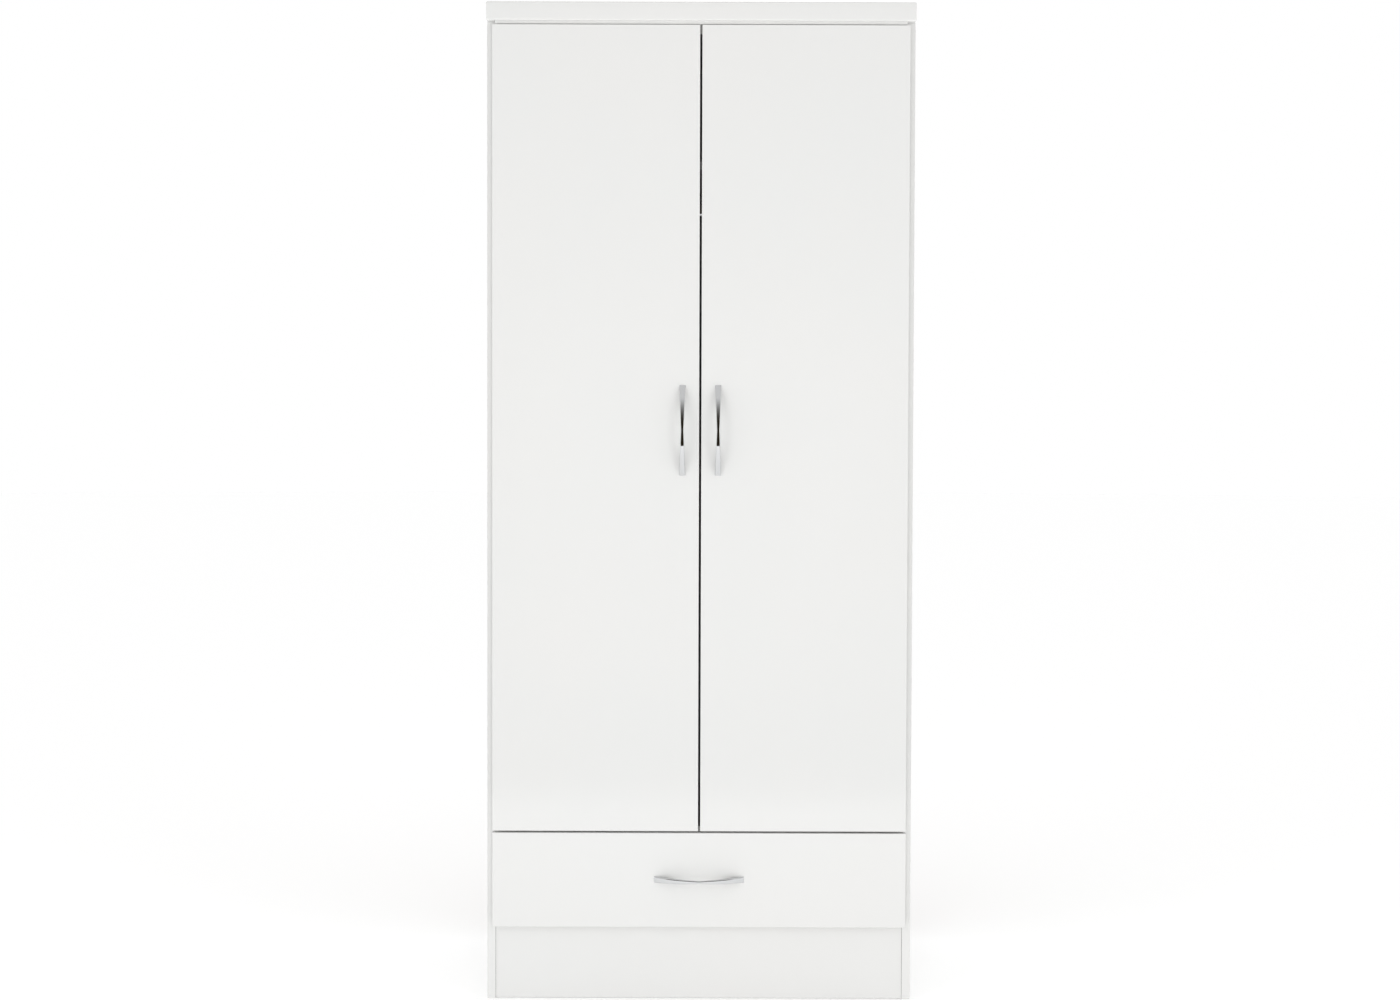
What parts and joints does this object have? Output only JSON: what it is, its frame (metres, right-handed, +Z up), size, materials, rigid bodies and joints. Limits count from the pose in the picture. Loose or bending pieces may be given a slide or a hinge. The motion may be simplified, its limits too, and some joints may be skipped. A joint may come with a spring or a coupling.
{
  "type": "wardrobe with doors",
  "caption": "White gloss wardrobe with two hinged doors over one wide drawer, chrome bow handles, a hanging rail and a hat shelf inside.",
  "frame": {"origin": "on the floor at the middle of the overall width and depth, handles included", "axes": "+Z up, the front with doors and drawer faces -Y, +X to the right seen from the front"},
  "size_m": [0.765, 0.5142, 1.79],
  "materials": {
    "white_gloss_board": "white high-gloss melamine and foil on particle board",
    "white_hardboard": "white-faced hardboard, satin",
    "white_plastic_strip": "white extruded plastic, satin",
    "polished_chrome": "polished chrome plate",
    "bright_zinc_steel": "bright zinc-plated pressed steel",
    "white_nylon": "moulded white nylon, satin"
  },
  "bodies": {
    "carcass": {"left_side_panel": "white_gloss_board", "right_side_panel": "white_gloss_board", "top_panel": "white_gloss_board", "inner_top_panel": "white_gloss_board", "divider_panel": "white_gloss_board", "bottom_panel": "white_gloss_board", "hat_shelf": "white_gloss_board", "plinth": "white_gloss_board", "back_panel_left": "white_hardboard", "back_panel_right": "white_hardboard", "back_joining_strip": "white_plastic_strip", "hanging_rail": "polished_chrome", "rail_socket_left": "polished_chrome", "rail_socket_right": "polished_chrome", "cabinet_runner_left": "bright_zinc_steel", "cabinet_runner_right": "bright_zinc_steel", "shelf_support_left_front": "bright_zinc_steel", "shelf_support_left_rear": "bright_zinc_steel", "shelf_support_right_front": "bright_zinc_steel", "shelf_support_right_rear": "bright_zinc_steel", "hinge_plate_left_1": "bright_zinc_steel", "hinge_plate_left_2": "bright_zinc_steel", "hinge_plate_left_3": "bright_zinc_steel", "hinge_plate_right_1": "bright_zinc_steel", "hinge_plate_right_2": "bright_zinc_steel", "hinge_plate_right_3": "bright_zinc_steel", "hinge_arm_left_1": "bright_zinc_steel", "hinge_arm_left_2": "bright_zinc_steel", "hinge_arm_left_3": "bright_zinc_steel", "hinge_arm_right_1": "bright_zinc_steel", "hinge_arm_right_2": "bright_zinc_steel", "hinge_arm_right_3": "bright_zinc_steel"},
    "left_door": {"left_door_panel": "white_gloss_board", "left_door_handle": "polished_chrome", "left_door_handle_screw_lower": "bright_zinc_steel", "left_door_handle_screw_upper": "bright_zinc_steel", "hinge_cup_left_1": "bright_zinc_steel", "hinge_cup_left_2": "bright_zinc_steel", "hinge_cup_left_3": "bright_zinc_steel"},
    "right_door": {"right_door_panel": "white_gloss_board", "right_door_handle": "polished_chrome", "right_door_handle_screw_lower": "bright_zinc_steel", "right_door_handle_screw_upper": "bright_zinc_steel", "hinge_cup_right_1": "bright_zinc_steel", "hinge_cup_right_2": "bright_zinc_steel", "hinge_cup_right_3": "bright_zinc_steel"},
    "drawer": {"drawer_front": "white_gloss_board", "drawer_side_left": "white_gloss_board", "drawer_side_right": "white_gloss_board", "drawer_back": "white_gloss_board", "drawer_base": "white_hardboard", "drawer_handle": "polished_chrome", "drawer_handle_screw_left": "bright_zinc_steel", "drawer_handle_screw_right": "bright_zinc_steel", "drawer_runner_left": "bright_zinc_steel", "drawer_runner_right": "bright_zinc_steel"},
    "cabinet_roller_left": {"cabinet_roller_left": "white_nylon"},
    "cabinet_roller_right": {"cabinet_roller_right": "white_nylon"},
    "drawer_roller_left": {"drawer_roller_left": "white_nylon"},
    "drawer_roller_right": {"drawer_roller_right": "white_nylon"}
  },
  "joints": [
    {"name": "left_door_hinge", "type": "hinge", "parent": "carcass", "child": "left_door", "pos_m": [-0.3648, -0.22135, 1.02915], "axis": [0, 0, -1], "range_deg": [0, 95]},
    {"name": "right_door_hinge", "type": "hinge", "parent": "carcass", "child": "right_door", "pos_m": [0.3648, -0.22135, 1.02915], "axis": [0, 0, 1], "range_deg": [0, 95]},
    {"name": "drawer_slide", "type": "slide", "parent": "carcass", "child": "drawer", "axis": [0, -1, 0], "range_m": [0, 0.3]},
    {"name": "cabinet_roller_left_spin", "type": "hinge", "parent": "carcass", "child": "cabinet_roller_left", "pos_m": [-0.362, -0.19485, 0.1703], "axis": [1, 0, 0], "continuous": true},
    {"name": "cabinet_roller_right_spin", "type": "hinge", "parent": "carcass", "child": "cabinet_roller_right", "pos_m": [0.362, -0.19485, 0.1703], "axis": [1, 0, 0], "continuous": true},
    {"name": "drawer_roller_left_spin", "type": "hinge", "parent": "drawer", "child": "drawer_roller_left", "pos_m": [-0.362, 0.18115, 0.1703], "axis": [1, 0, 0], "continuous": true},
    {"name": "drawer_roller_right_spin", "type": "hinge", "parent": "drawer", "child": "drawer_roller_right", "pos_m": [0.362, 0.18115, 0.1703], "axis": [1, 0, 0], "continuous": true}
  ],
  "couplings": [
    {"joint": "cabinet_roller_left_spin", "follows": "drawer_slide", "rad_per_m": 142.86},
    {"joint": "cabinet_roller_right_spin", "follows": "drawer_slide", "rad_per_m": 142.86},
    {"joint": "drawer_roller_left_spin", "follows": "drawer_slide", "rad_per_m": 142.86},
    {"joint": "drawer_roller_right_spin", "follows": "drawer_slide", "rad_per_m": 142.86}
  ]
}
